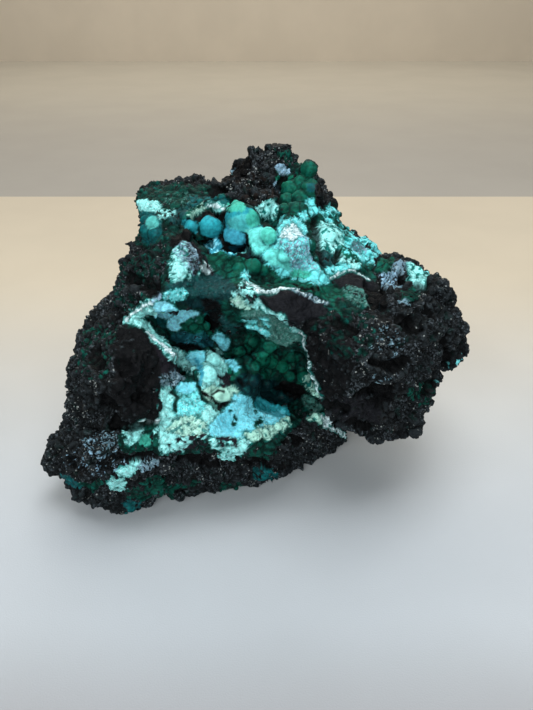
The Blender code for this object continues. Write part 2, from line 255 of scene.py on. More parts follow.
# Each patch's colour and strength, then its outline. Later patches lie over earlier ones.
PATCHES = [
    # top left slab and left edge; the cream and mint patches on the lip above the upper balls are painted
    # highlights
    """
moss 0.9 | 138,192 165,186 215,189 230,198 222,206 190,212 160,208 140,202
bottle 0.5 | 138,192 165,186 215,189 230,198 222,206 190,212 160,208 140,202
sage 0.2 | 160,196 180,192 206,200 196,214 176,218 160,208
teal 0.7 | 190,197 210,194 230,199 222,206 204,205 190,209
slate 0.8 | 168,213 190,206 196,211 188,220 172,222
mint 1 | 140,203 152,201 159,204 157,211 142,210
teal 1 | 140,214 152,213 159,218 160,234 155,241 144,240 141,228
seafoam 0.6 | 146,219 156,216 157,224 152,228 147,225
mint 0.5 | 159,212 166,209 173,213 164,217
soot 1 | 187,217 205,211 222,213 222,222 212,219 203,215 190,222
cream 1 | 189,214 197,208 205,204 206,207 200,211 190,216
mint 1 | 207,205 214,203 226,207 222,209 214,208
""",
    # upper hollow
    """
soot 1 | 218,236 226,238 247,244 250,254 260,260 240,260 232,252 221,250
lagoon 1 | 184,222 192,220 198,226 196,231 186,229
lagoon 1 | 200,222 207,216 221,222 221,232 212,238 203,235
lagoon 1 | 225,215 238,208 253,210 259,222 257,231 240,231 227,229
seafoam 0.35 | 228,222 240,214 252,214 256,226 244,230 230,230
azure 1 | 224,230 238,231 247,238 246,244 234,243 226,238
jade 0.9 | 248,212 254,211 259,222 253,227 247,220
jade 1 | 229,206 233,201 240,202 244,208 230,210
seafoam 1 | 248,231 258,228 270,227 277,233 275,243 267,251 257,254 250,246
jade 0.7 | 262,231 270,228 277,233 275,242 267,244 261,238
azure 1 | 206,245 212,241 219,243 221,252 231,254 238,260 216,254
ice 0.35 | 207,246 213,242 219,245 219,251 228,252 236,258 226,257 212,250
ink 1 | 232,247 246,245 247,250 236,252
""",
    # velvety bridge between the hollows
    """
leaf 1 | 206,256 222,252 236,258 250,260 262,262 275,272 280,279 300,281 330,285 345,291 350,300 335,300
    318,292 300,286 270,285 255,288 246,282 232,285 226,276 210,270
moss 0.7 | 214,266 230,264 236,274 228,280 216,276
bottle 0.9 | 240,277 262,274 282,282 262,284 246,281
turquoise 1 | 243,274 247,272 249,277 246,279
""",
    # swelling right of the upper hollow
    """
turquoise 1 | 281,222 300,221 308,232 310,250 318,265 328,280 320,284 305,282 292,276 282,276 275,268
    262,260 262,254 272,250 277,240 278,230
lilac 0.5 | 288,238 300,232 309,236 310,252 316,268 306,271 292,267 285,256
grey 0.4 | 281,243 290,242 300,248 296,262 286,254
white 0.8 | 282,229 294,226 300,233 292,238 283,236
seafoam 1 | 264,256 272,251 280,252 288,258 286,266 276,266 268,262
jade 1 | 289,274 300,271 311,275 302,279
""",
    # crest
    """
bare 1 | 245,150 262,146 270,144 292,146 298,160 290,164 276,165 274,180 280,192 270,205 258,207 240,200
    228,195 216,196 214,184 222,178 232,178 240,168
brown 0.25 | 230,178 246,172 272,180 278,192 266,204 240,198
moss 0.5 | 276,150 290,150 297,162 286,165
leaf 1 | 283,183 300,176 317,180 316,200 310,212 300,216 284,212 281,196
leaf 1 | 300,164 310,162 318,168 316,176 304,178
moss 0.7 | 286,200 300,196 306,206 296,214 286,210
lilac 1 | 276,167 283,166 290,171 288,174 280,172
fern 0.6 | 274,176 284,178 298,174 299,180 288,184 277,182
lilac 0.8 | 274,182 279,184 281,194 277,192
teal 1 | 308,183 315,184 316,191 309,190
bare 1 | 317,184 326,190 328,200 320,208 317,200
mint 0.8 | 257,208 268,202 279,200 278,212 272,219 262,216
turquoise 1 | 306,200 312,201 318,210 326,216 320,219 312,214
turquoise 1 | 300,214 305,212 306,219 301,220
moss 1 | 309,222 322,216 331,222 318,230 316,248 324,262 326,272 316,262 310,250
""",
    # right slope
    """
turquoise 0.9 | 342,238 352,236 357,241 368,246 376,254 374,264 360,266 340,264 334,256 342,250
turquoise 0.6 | 330,206 344,212 352,224 366,234 380,246 380,262 366,254 350,242 336,230 326,218
moss 0.5 | 336,210 350,224 350,238 338,228 330,216
mint 0.72 | 318,232 324,224 333,224 338,232 342,240 342,250 330,252 320,246
slate 0.8 | 318,253 332,253 338,262 326,269 318,264
leaf 1 | 342,247 350,249 357,258 350,265 342,263 337,257
grey 0.8 | 352,242 362,244 366,250 358,254 352,249
moss 0.9 | 360,263 372,265 376,280 368,276
mint 0.5 | 336,262 342,256 350,258 358,264 352,268 342,266
moss 0.8 | 330,212 338,214 340,224 334,222
turquoise 0.4 | 344,248 352,246 357,252 350,255
turquoise 0.8 | 328,271 344,265 352,268 344,272 332,278
facet 1 | 332,279 346,273 356,272 368,277 380,285 370,291 352,287 340,284
sage 0.7 | 344,286 356,287 368,294 364,306 350,300
""",
    # right knob
    """
bare 1 | 376,260 392,252 410,257 424,264 426,280 414,288 384,296 378,282
bottle 1 | 378,269 381,259 390,257 392,264 385,272
leaf 0.55 | 378,269 381,259 390,257 392,264 385,272
grey 0.65 | 392,265 402,260 412,262 410,272 398,271 393,274
mint 0.75 | 408,263 418,265 425,273 421,282 412,286 410,274
lilac 0.6 | 380,273 392,271 398,277 390,285 382,281
moss 0.7 | 404,292 418,288 416,297 404,301
turquoise 0.5 | 438,388 450,372 460,356 468,350 466,364 454,382 444,392
moss 0.5 | 410,392 426,386 440,380 436,396 420,404
""",
    # oval pocket on the left shoulder
    """
bottle 0.4 | 112,290 124,262 146,246 168,246 170,280 160,300 130,312 114,304
plum 1 | 172,262 177,246 184,240 191,245 197,258 204,270 200,280 176,284
mint 0.6 | 173,262 178,247 184,241 190,246 196,258 203,270 210,276 200,280 188,283 176,285 172,276
mint 0.9 | 173,264 180,262 184,272 182,282 176,284 172,276
lilac 0.4 | 176,248 184,241 192,248 196,262 194,274 186,272 184,262 178,258
plum 1 | 188,244 192,240 200,250 204,262 200,268 194,274 190,262
coal 1 | 170,248 174,238 183,232 191,238 184,241 176,247
grey 0.6 | 183,244 190,243 198,256 199,268 190,272 182,260
white 1 | 203,266 207,264 211,276 204,273
""",
    # left branch of the lower hollow
    """
slate 1 | 170,285 190,279 212,277 226,280 232,286 226,301 206,301 188,295 166,291
deep 1 | 174,299 200,300 222,300 222,313 206,311 200,308 188,303
mint 1 | 125,321 132,313 142,305 152,301 160,303 170,305 174,312 170,318 160,316 150,314 140,316 132,322
turquoise 1 | 160,304 170,305 174,312 170,318 162,314
turquoise 0.9 | 163,295 176,291 186,292 184,297 172,298 164,299
lilac 0.7 | 150,296 158,293 162,298 152,300
teal 1 | 157,318 170,318 170,329 162,327
ice 1 | 170,317 178,311 197,311 199,316 190,322 178,329 168,328
ice 1 | 154,304 164,303 172,308 173,315 166,318 158,314
leaf 1 | 182,324 192,320 200,316 210,318 211,332 198,336 184,330
soot 1 | 202,302 212,300 220,306 222,322 214,330 212,314 206,308
ice 0.8 | 206,315 211,315 210,320 206,318
azure 0.3 | 172,333 190,336 206,334 211,342 206,347 190,342 174,340
soot 1 | 176,343 200,347 206,352 192,355 180,350
slate 0.8 | 222,313 232,316 236,330 228,338 222,330
sky 1 | 213,339 217,333 222,336 228,342 226,348 220,347
""",
    # rim of the left lobe
    """
plum 1 | 150,339 160,350 172,358 180,370 176,378 164,376 158,362
mint 0.8 | 150,330 158,336 168,344 178,350 190,362 198,370 190,371 180,364 172,358 160,346 152,338
sky 1 | 186,357 196,353 203,352 203,360 200,366 192,364
grey 0.7 | 158,377 170,374 180,373 184,380 172,385 162,387
""",
    # mint patch, dark slab and pale sheet
    """
moss 1 | 222,300 232,304 246,308 262,312 250,320 240,325 228,319
mint 0.48 | 246,282 250,280 256,290 262,304 262,310 246,306 232,304 234,294
cream 1 | 232,300 238,296 244,304 250,309 238,306
facet 1 | 260,296 272,292 286,290 300,294 316,300 328,306 320,316 306,317 298,323 290,325 276,315 266,306
sage 1 | 262,313 276,319 292,328 302,335 303,340 292,342 282,344 272,340 262,331 250,321 240,312
""",
    # botryoids of the lower hollow
    """
bottle 1 | 232,336 262,338 290,346 306,350 308,368 298,381 280,383 262,376 244,374 232,366
deep 1 | 236,374 262,377 284,385 302,398 284,404 262,402 246,398 236,388
soot 1 | 278,382 300,383 306,392 296,400 284,392
leaf 1 | 246,334 256,335 263,342 260,349 250,348 244,342
leaf 1 | 264,343 272,341 277,346 273,351 266,350
fern 0.9 | 257,355 267,352 277,358 275,367 264,369 257,363
fern 0.9 | 277,363 284,361 289,367 285,373 278,370
leaf 1 | 285,352 292,351 298,357 295,363 287,360
leaf 1 | 262,366 270,366 275,372 270,377 262,375
leaf 0.9 | 248,364 258,362 260,370 252,372
leaf 0.8 | 234,348 242,346 246,354 238,358
leaf 1 | 283,374 292,372 297,377 290,381
leaf 1 | 298,374 306,366 311,368 312,376 306,385 299,383
cream 0.7 | 304,379 312,376 318,388 322,398 316,396 308,390
sage 0.9 | 304,395 312,398 321,408 316,413 306,406
cream 0.8 | 310,413 322,415 326,421 318,423 310,419
white 1 | 324,419 329,418 332,423 327,427
""",
    # central pale knob
    """
leaf 0.9 | 216,352 226,352 236,362 240,372 232,378 226,368
mint 1 | 200,372 206,362 210,352 218,351 222,358 228,362 226,370 218,384 222,390 212,392 204,390 200,382
cream 1 | 203,392 210,386 222,388 234,388 236,396 230,402 216,404 206,400
plum 1 | 220,378 228,376 230,384 224,387
sky 1 | 228,362 232,358 238,370 232,368
sage 1 | 208,403 222,405 230,403 222,412 210,410
soot 1 | 220,405 231,404 229,410 221,410
""",
    # pale block
    """
mint 1 | 160,392 170,390 178,396 182,392 196,392 204,402 206,408 220,412 220,420 210,422 210,432 204,438
    196,436 188,444 178,450 166,452 160,446 156,434 158,424 160,410
turquoise 0.9 | 180,394 196,392 204,402 202,408 196,414 180,414 172,412
cream 0.7 | 176,420 196,418 206,424 204,434 184,434 170,430
sky 1 | 176,388 182,384 194,383 194,390 182,391
plum 0.45 | 164,438 176,440 190,436 208,434 204,444 190,447 176,451
""",
    # sky blue floor
    """
sky 1 | 228,408 234,398 240,395 248,400 254,410 262,412 272,414 284,412 284,420 272,428 258,432 246,436
    238,440 224,440 212,436 210,428 216,420 222,414
azure 0.4 | 222,412 230,412 236,424 232,432 222,428 218,420
lagoon 0.7 | 254,401 270,402 286,408 290,414 272,415 258,409
cream 0.8 | 244,433 262,431 276,425 290,416 288,424 276,433 264,438 250,441
mint 0.8 | 212,440 226,440 242,440 250,444 240,452 230,459 221,460 222,452 214,448
plum 0.7 | 218,439 236,439 236,445 220,446
moss 0.9 | 250,445 262,442 270,450 270,459 254,457
""",
    # foot
    """
grey 0.3 | 84,440 96,436 112,430 121,436 118,450 104,456 90,452
lilac 0.08 | 60,455 90,440 120,450 140,470 120,478 80,472 62,465
moss 0.8 | 120,436 134,428 157,424 157,446 146,452 124,452
mint 1 | 126,432 136,428 142,430 140,438 130,442
jade 0.8 | 140,438 149,437 150,444 142,445
mint 1 | 115,473 124,468 130,464 140,462 136,470 126,475
grey 0.7 | 136,470 142,462 156,458 158,464 146,470
teal 1 | 59,476 70,478 82,484 78,487 66,482
mint 0.9 | 110,482 118,479 124,488 119,490
moss 0.8 | 150,482 160,481 172,490 172,496 150,497 130,499 126,490
teal 0.8 | 124,504 134,500 138,508 128,514
moss 0.7 | 222,484 240,482 242,494 234,499 224,494
teal 0.7 | 254,470 262,468 284,478 278,487 264,488 258,480
""",
    # left lobe and right boulder
    """
jet 0.9 | 120,330 140,328 152,344 160,366 158,392 158,420 140,424 120,416 112,392 118,366 112,346
moss 0.25 | 84,330 112,322 116,360 96,380 80,372
jet 0.8 | 300,326 322,316 346,336 352,366 340,396 326,408 316,384 306,350
facet 0.8 | 334,402 360,396 380,404 376,424 352,426 336,416
bottle 0.35 | 330,300 360,302 380,330 360,360 330,350 312,330
grey 0.14 | 380,326 408,328 410,350 392,360 370,352
grey 0.2 | 372,374 389,374 390,386 374,386
""",
]

# Each stroke's colour, strength and width in pixels, then the pixels that it passes
# The white stroke from 208,206 to 224,208 is a painted highlight on the lip above the upper balls
STROKES = """
white 0.8 2 | 127,320 134,313 142,307 151,303
mint 0.9 3 | 136,322 144,325 151,331
white 0.9 2 | 150,332 158,341 168,348 176,356
white 0.9 2 | 143,422 151,426 158,422
white 0.75 2 | 247,282 252,284 258,291 272,290 284,287 294,289
grey 0.8 3 | 294,289 304,293 316,298 326,303
white 0.3 2 | 294,289 304,293 316,298 326,303
mint 1 2 | 262,306 270,312 282,318 292,327 301,332
white 0.75 1 | 300,331 305,336 304,346 308,354 310,366 312,377 317,390 322,399
white 0.7 2 | 322,416 328,426 336,430 346,437
turquoise 1 3 | 246,320 256,322
turquoise 1 3 | 248,327 258,328 268,334
turquoise 1 3 | 264,320 268,325
sage 1 3 | 272,337 278,342 286,345
bottle 1 3 | 172,391 178,398 175,410
bottle 1 3 | 196,372 198,384 200,394 206,402
moss 0.6 3 | 231,412 236,418 234,424
moss 0.6 3 | 256,412 260,420 256,426
coal 1 2 | 203,392 210,400 222,404 234,401
coal 1 2 | 211,395 217,390 224,392
azure 1 2 | 196,360 202,372 200,384
moss 0.9 3 | 82,484 92,488 101,482
moss 0.9 3 | 171,488 185,485 200,482
moss 1 2 | 160,199 166,192 176,191 182,197 178,205 168,207
white 0.8 2 | 208,206 216,205 224,208
teal 0.8 1 | 262,240 267,246 274,244 278,237
soot 0.8 2 | 178,246 184,240 191,241 198,250 203,262 200,270
leaf 0.8 2 | 184,218 192,210 204,205
plum 1 2 | 205,256 208,266 212,275
soot 1 2 | 246,235 247,244 247,252 240,254
white 0.7 1 | 331,278 345,272 355,271 366,276 369,278
mint 0.8 3 | 446,377 456,368 465,353
grey 0.7 2 | 384,282 392,289 399,286
grey 0.7 2 | 380,296 384,305
grey 0.7 2 | 400,300 412,303
leaf 0.9 2 | 284,283 300,287 322,293 332,302 340,314
soot 0.8 2 | 292,283 306,287 322,290
soot 0.8 3 | 374,361 390,366 407,364
soot 0.8 3 | 358,397 370,391 384,387
"""

# Deep gaps: radius, depth, then the pixels that the gap passes
DENTS = [
    (4.5, 4.0, "228,156 234,166"), (2.0, 2.0, "213,190 220,196"), (1.6, 2.5, "190,219 206,215 218,217"),
    (1.2, 2.5, "222,222 222,238"), (2.2, 3.5, "240,248 250,255"), (1.3, 2.0, "246,246 262,262"),
    (2.0, 3.0, "402,275 406,283"), (1.8, 3.0, "420,286 428,290"), (2.0, 2.5, "374,286 380,298"),
    (1.5, 2.5, "372,362 390,366 408,364"), (1.4, 2.2, "356,398 370,391 386,387"),
    (3.2, 3.0, "384,398 398,404"), (1.6, 2.6, "446,340 448,356 444,372"), (1.8, 2.4, "428,388 440,380"),
    (1.8, 2.0, "336,322 352,330"), (1.5, 2.0, "330,404 344,410"), (2.2, 2.5, "400,318 412,326"),
    (1.5, 2.0, "424,306 436,318"), (2.0, 2.5, "352,424 366,430"), (2.4, 2.5, "120,362 126,372"),
    (2.0, 2.2, "138,396 148,404"), (1.6, 2.0, "92,352 98,364"), (2.0, 2.4, "104,400 112,412"),
    (1.4, 2.0, "116,424 134,428 150,424"), (1.8, 2.2, "146,282 154,290"), (1.6, 2.0, "128,276 136,284"),
    (2.0, 2.4, "206,320 212,324"), (1.0, 1.6, "240,380 246,388"), (1.4, 2.2, "278,388 300,392"),
    (1.2, 2.0, "108,456 128,458 150,456"), (1.6, 2.2, "180,456 200,462 214,466"),
    (1.6, 2.2, "252,462 270,464"), (1.4, 2.0, "284,440 300,444"), (1.4, 2.0, "70,462 80,470"),
    (1.0, 1.6, "317,214 316,230 318,248 324,264"), (1.0, 1.4, "340,250 334,262"),
    (1.3, 2.0, "284,178 280,190 282,204"),
]

# Wide bites out of the outline, which keep their colour: radius, depth, then pixels
NOTCHES = [
    (3.0, 5.0, "345,220 353,229"), (1.8, 2.2, "337,213 341,216"), (1.8, 1.8, "362,238 370,247"),
]

# Broken crags: how many, smallest and largest radius, then the outline that they stand in
CRAGS = [
    (60, 1.2, 3.0, "246,148 262,145 292,146 298,160 276,166 272,182 250,180"),
    (50, 1.0, 2.6, "214,188 222,178 240,170 272,182 278,194 264,206 240,200"),
    (14, 1.0, 2.2, "120,262 168,242 160,262 128,284"),
    (12, 0.7, 1.3, "382,262 394,260 412,258 426,268 424,280 404,270"),
    (14, 1.2, 2.6, "424,280 448,284 456,300 440,300"),
    (20, 0.9, 2.0, "326,216 342,232 358,238 374,250 360,252 338,240"),
]

# Rounded lumps on the surface, each as pixel across, pixel down, radius, and how deep it sits in radii
LUMPS = """
289 189 3.0 0.1 | 311 189 3.2 0.1 | 299 183 2.6 0.1 | 286 200 2.4 0.1 | 300 199 2.8 0.0 |
294 209 2.4 0.1 | 311 202 2.2 0.1 | 308 169 3.0 0.3 | 284 209 1.8 0.2 | 303 209 1.8 0.1 |
300 173 2.0 0.3 | 316 171 1.8 0.4 | 314 211 1.6 0.2 | 292 177 1.8 0.3 | 210 227 3.6 0.3 |
191 226 2.0 0.3 | 242 219 5.3 0.4 | 236 236 4.0 0.45 | 253 218 2.6 0.4 | 259 241 4.3 0.35 |
268 236 2.8 0.1 | 236 206 1.9 0.4 | 199 236 1.6 0.4 | 251 341 2.9 0.3 | 270 346 2.2 0.3 |
262 360 2.8 0.3 | 271 362 2.2 0.3 | 282 367 2.1 0.3 | 291 356 2.1 0.3 | 300 356 2.0 0.3 |
290 376 2.0 0.3 | 239 352 2.4 0.3 | 283 350 1.9 0.3 | 246 362 2.2 0.3 | 276 376 1.8 0.3 |
255 350 1.8 0.3 | 301 368 1.8 0.3 | 264 353 1.7 0.2 | 276 357 1.7 0.2 | 269 371 2.0 0.2 |
254 367 2.0 0.2 | 284 381 1.8 0.3 | 246 350 1.8 0.3 | 292 366 1.9 0.2 | 304 362 1.6 0.3 |
262 376 1.6 0.3 | 238 362 1.8 0.3 | 240 372 2.0 0.4 | 254 380 1.9 0.4 | 268 384 1.9 0.4 |
246 390 1.8 0.4 | 282 396 1.8 0.4 | 304 376 2.4 0.4 | 310 384 1.6 0.5 | 312 402 1.8 0.5 |
316 417 1.8 0.5 | 328 423 1.5 0.3 | 251 436 1.6 0.5 | 264 434 1.8 0.5 | 277 427 1.6 0.5 |
286 420 1.6 0.5 | 213 360 2.6 0.5 | 208 374 2.8 0.5 | 219 395 4.4 0.6 | 232 370 2.0 0.5 |
190 322 1.8 0.4 | 200 320 1.6 0.4 | 206 326 1.6 0.4 | 194 328 1.5 0.4 | 220 341 1.8 0.4 |
252 267 2.9 0.5 | 239 269 2.0 0.5 | 262 270 2.0 0.5 | 268 256 1.9 0.4 | 276 262 1.9 0.4 |
283 257 1.8 0.4 | 270 265 1.5 0.4 | 286 274 1.5 0.4 | 280 271 1.3 0.4 | 322 279 1.4 0.5 |
314 276 1.4 0.5 | 146 232 2.2 0.4 | 152 222 2.0 0.4 | 145 220 1.6 0.4 | 154 234 1.8 0.4 |
328 238 3.4 0.6 | 346 256 2.2 0.5 | 354 248 1.8 0.5 | 366 254 2.0 0.5 | 348 242 2.0 0.5 |
398 266 2.4 0.5 | 408 268 2.4 0.5 | 417 273 2.2 0.5 | 135 436 1.6 0.5 | 232 490 2.4 0.5 |
262 474 2.6 0.5 | 276 478 2.2 0.5 | 158 490 2.4 0.5 | 130 507 2.0 0.5
"""


def linear(colour):
    """The scene-linear value of an sRGB colour given from 0 to 255."""
    return [c / 12.92 if c <= 0.04045 else ((c + 0.055) / 1.055) ** 2.4 for c in (v / 255 for v in colour)]


def pixel_direction(across, down):
    """The direction that the camera sees a pixel of the photo's frame in."""
    sideways = (across - PHOTO_WIDTH / 2) / FOCAL_PIXELS
    upward = (PHOTO_HEIGHT / 2 - down) / FOCAL_PIXELS
    direction = Vector((sideways, upward, -1.0))
    direction.rotate(Euler((CAMERA_TILT, 0, 0)))
    return direction.normalized()


def seen_point(surface, across, down):
    """The point of a surface that the camera sees at a pixel and how square on it sees it, or None."""
    direction = pixel_direction(across, down)
    hit, place, normal, _ = surface.ray_cast(CAMERA_PLACE * MM, direction)
    return (np.array(place) / MM, max(0.0, -normal.dot(direction))) if hit else None


def pixel_of(point):
    """The photo's pixel that a point falls on."""
    local = Vector(point) - CAMERA_PLACE
    local.rotate(Euler((-CAMERA_TILT, 0, 0)))
    across = PHOTO_WIDTH / 2 - FOCAL_PIXELS * local.x / local.z
    return across, PHOTO_HEIGHT / 2 + FOCAL_PIXELS * local.y / local.z


def shown(name, data):
    """An object in the scene that shows a mesh, a light or a camera."""
    made = bpy.data.objects.new(name, data)
    bpy.context.scene.collection.objects.link(made)
    return made


def arrays_of(mesh):
    """The corner points and triangles of a bmesh, which is then freed."""
    bmesh.ops.triangulate(mesh, faces=mesh.faces)
    mesh.verts.index_update()
    points = np.array([vertex.co[:] for vertex in mesh.verts]) / MM
    faces = np.array([[vertex.index for vertex in face.verts] for face in mesh.faces])
    mesh.free()
    return points, faces


def lump_centre(base, across, down, radius, depth):
    """The centre of a lump that lies so many radii deep where the camera sees a pixel, or None."""
    seen = seen_point(base, across, down)
    return seen[0] + np.array(pixel_direction(across, down)) * depth * radius if seen else None


def welded_node(name, growth):
    """A CAD node's skin with shared corners, grown outward by a length."""
    mesh = bmesh.new()
    mesh.from_mesh(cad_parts[name].data)
    bmesh.ops.remove_doubles(mesh, verts=mesh.verts, dist=1e-6)
    mesh.normal_update()
    for vertex in mesh.verts:
        vertex.co += vertex.normal * growth * MM
    return arrays_of(mesh)


def unit_ball(subdivisions):
    """A ball of radius 1, as arrays."""
    mesh = bmesh.new()
    bmesh.ops.create_icosphere(mesh, subdivisions=subdivisions, radius=MM)
    return arrays_of(mesh)


def joined(parts, name):
    """One object made of several skins."""
    starts = np.cumsum([0] + [len(points) for points, _ in parts])
    points = np.concatenate([points for points, _ in parts]) * MM
    faces = np.concatenate([faces + start for (_, faces), start in zip(parts, starts)])
    data = bpy.data.meshes.new(name)
    data.from_pydata(points.tolist(), [], faces.tolist())
    piece = shown(name, data)
    bpy.context.view_layer.update()
    return piece


def crossings(outline, down):
    """Where a closed outline crosses a row of pixels, from left to right."""
    ends = outline[1:] + outline[:1]
    rows = [(a, b, c, d) for (a, b), (c, d) in zip(outline, ends) if (b > down) != (d > down)]
    return sorted(a + (down - b) * (c - a) / (d - b) for a, b, c, d in rows)


def inside(outline, across, down):
    """True if a pixel lies inside a closed outline."""
    return sum(across < edge for edge in crossings(outline, down)) % 2 == 1


def patch_pixels(outline, apart):
    """Pixels evenly apart inside a closed outline."""
    pixels = []
    for down in np.arange(min(p[1] for p in outline), max(p[1] for p in outline), apart):
        edges = crossings(outline, down)
        for start, end in zip(edges[::2], edges[1::2]):
            pixels += [(across, down) for across in np.arange(start, end, apart)]
    return pixels


def insets(outline, pixels):
    """How far, in pixels, each pixel lies from a closed outline."""
    places = np.array(pixels, float)
    nearest = np.full(len(places), FAR)
    for start, end in zip(np.array(outline, float), np.array(outline[1:] + outline[:1], float)):
        along = end - start
        part = np.clip((places - start) @ along / max(along @ along, 1e-6), 0, 1)
        nearest = np.minimum(nearest, np.linalg.norm(places - start - part[:, None] * along, axis=1))
    return nearest


def stroke_pixels(points):
    """Pixels at most about 2 apart along a line of points."""
    pixels = []
    for (a, b), (c, d) in zip(points, points[1:]):
        count = max(1, round(math.hypot(c - a, d - b) / 2))
        for i in range(count + 1):
            pixels.append((a + (c - a) * i / count, b + (d - b) * i / count))
    return pixels


def crumbs_on(rock):
    """Broken grains that stand in clumps on the bare rock."""
    points, faces = rock
    chance = np.random.default_rng(CRUMB_SEED)
    corners = points[faces]
    across = np.cross(corners[:, 1] - corners[:, 0], corners[:, 2] - corners[:, 0])
    area = np.linalg.norm(across, axis=1)
    outward = across / np.maximum(area, 1e-9)[:, None]
    smallest, largest = CRUMB_SIZES
    ball, ball_faces = unit_ball(1)
    parts = []
    for face in chance.choice(len(faces), CRUMBS, p=area / area.sum()):
        a, b = np.sort(chance.random(2))
        place = corners[face, 0] * a + corners[face, 1] * (b - a) + corners[face, 2] * (1 - b)
        facing = np.dot(outward[face], place - np.array(CAMERA_PLACE)) < 0
        dense = noise.noise(Vector(place / CRUMB_CLUMP)) > chance.uniform(-0.7, 0.3)
        radius = smallest + (largest - smallest) * chance.random() ** 3
        if not dense or place[2] < CRUMB_FLOOR or (facing and inside(BAND, *pixel_of(place))):
            continue
        shape = ball * (1 + 0.3 * chance.standard_normal((len(ball), 1))).clip(0.5, 1.5)
        turn = np.array(Euler(chance.uniform(0, 6.28, 3)).to_matrix())
        shape = (shape * chance.uniform(0.6, 1.2, 3)) @ turn.T
        depth = chance.uniform(-0.5, 0.15)
        parts.append((place + outward[face] * depth * radius + shape * radius, ball_faces))
    return parts


def crags_on(base):
    """Broken lumps that crowd where the rock is most ragged."""
    chance = np.random.default_rng(CRAG_SEED)
    ball, ball_faces = unit_ball(2)
    parts = []
    for count, smallest, largest, outline in CRAGS:
        pixels = patch_pixels(pixels_of(outline), 1)
        for across, down in (pixels[i] for i in chance.integers(0, len(pixels), count)):
            radius = smallest + (largest - smallest) * chance.random() ** 2
            shape = ball * (1 + 0.12 * chance.standard_normal((len(ball), 1))).clip(0.7, 1.3)
            shape = shape * chance.uniform(0.7, 1.2, 3)
            depth = chance.uniform(-0.2, 0.5)
            centre = lump_centre(base, across, down, radius, depth)
            if centre is not None:
                parts.append((centre + shape * radius, ball_faces))
    return parts


def rounded(lumps):
    """A ball for each lump, none quite round."""
    ball, ball_faces = unit_ball(4)
    parts = []
    for centre, radius in lumps:
        swelling = SWELLING * radius * wave(centre + ball * radius, 0.75 * radius, BALL_SEED)
        swelling = np.clip(swelling, -MOST_SWELLING, MOST_SWELLING)
        parts.append((centre + ball * (radius + swelling)[:, None], ball_faces))
    return parts


def remeshed(piece, voxel):
    """The outer skin of overlapping solids, as one mesh of even small faces."""
    remesh = piece.modifiers.new("skin", "REMESH")
    remesh.mode = "VOXEL"
    remesh.voxel_size = voxel * MM
    evaluated = piece.evaluated_get(bpy.context.evaluated_depsgraph_get())
    data = bpy.data.meshes.new_from_object(evaluated)
    bpy.data.objects.remove(piece)
    return data


def build_skin():
    """The whole specimen's surface in one mesh, and the lumps on it as centres and radii."""
    parts = [welded_node("matrix", 0)]
    parts += [welded_node(name, CRUST_GROWTH) for name in CRUSTS]
    base = joined(parts, "base")
    lumps = [(np.array(centre) + DRAWN_SHIFT, radius) for centre, radius in UPPER_BALLS]
    for lump in LUMPS.split("|"):
        across, down, radius, depth = (float(word) for word in lump.split())
        centre = lump_centre(base, across, down, radius, depth)
        if centre is not None:
            lumps.append((centre, radius))
    parts += crags_on(base) + crumbs_on(parts[0]) + rounded(lumps)
    bpy.data.objects.remove(base)
    return remeshed(joined(parts, "whole"), VOXEL), lumps


def read(items, key):
    """The vector that each item of a mesh keeps under a key, as one array."""
    values = np.empty(len(items) * 3, np.float32)
    items.foreach_get(key, values)
    return values.reshape(-1, 3).astype(float)


def faces_of(data):
    """The four corners of each face of a mesh of quads."""
    values = np.empty(len(data.loops), np.int32)
    data.loops.foreach_get("vertex_index", values)
    return values.reshape(-1, 4)


def set_points(data, points):
    """Moves a mesh's points to new places."""
    data.vertices.foreach_set("co", (points * MM).astype(np.float32).ravel())
    data.update()


def smoothed(values, faces, times, weight):
    """Each point's values moved towards its neighbours' mean."""
    start = faces.ravel()
    end = np.roll(faces, -1, axis=1).ravel()
    count = len(values)
    near = np.bincount(start, minlength=count) + np.bincount(end, minlength=count)
    for _ in range(times):
        total = np.empty_like(values)
        for axis in range(values.shape[1]):
            total[:, axis] = np.bincount(start, values[end, axis], count)
            total[:, axis] += np.bincount(end, values[start, axis], count)
        values = values + weight * (total / near[:, None] - values)
    return values


def spread(marks, faces, times):
    """A mark of true or false on each point, softened over its neighbours."""
    return smoothed(marks[:, None].astype(float), faces, times, 0.7)[:, 0]


def groups(faces, count):
    """The same number on all points whose faces hang together."""
    start = faces.ravel()
    end = np.roll(faces, -1, axis=1).ravel()
    labels = np.arange(count)
    while True:
        low = np.minimum(labels[start], labels[end])
        lower = labels.copy()
        for places in (start, end, labels[start], labels[end]):
            np.minimum.at(lower, places, low)
        lower = lower[lower][lower]
        if np.array_equal(lower, labels):
            return labels
        labels = lower


def largest_part(faces, count):
    """True for the faces that hang together with most others: no loose grain or inner bubble stays."""
    labels = groups(faces, count)
    return labels[faces[:, 0]] == np.argmax(np.bincount(labels))


def without_islands(homes, faces, count):
    """Each face's piece, once each small island of a piece has gone to the piece around it."""
    loose = np.zeros(len(faces), bool)
    for home in range(len(PIECES)):
        own = np.nonzero(homes == home)[0]
        labels = groups(faces[own], count)[faces[own, 0]]
        loose[own] = np.bincount(labels, minlength=count)[labels] < ISLAND
    for _ in range(ISLAND):
        around = np.full(count, -1)
        around[faces[~loose].ravel()] = np.repeat(homes[~loose], 4)
        found = np.where(loose, around[faces].max(axis=1), -1)
        if not np.any(found >= 0):
            break
        homes = np.where(found >= 0, found, homes)
        loose &= found < 0
    return homes


def shifted(points, size, seed):
    """Points in units of a noise's size, moved to the seed's own stretch of it."""
    return (points / size + np.array((seed * 7.13, seed * 3.71, seed * 5.37))).tolist()


def wave(points, size, seed):
    """Smooth noise from about -1 to 1 whose bumps are of a size."""
    return np.array([noise.noise(p) for p in shifted(points, size, seed)])


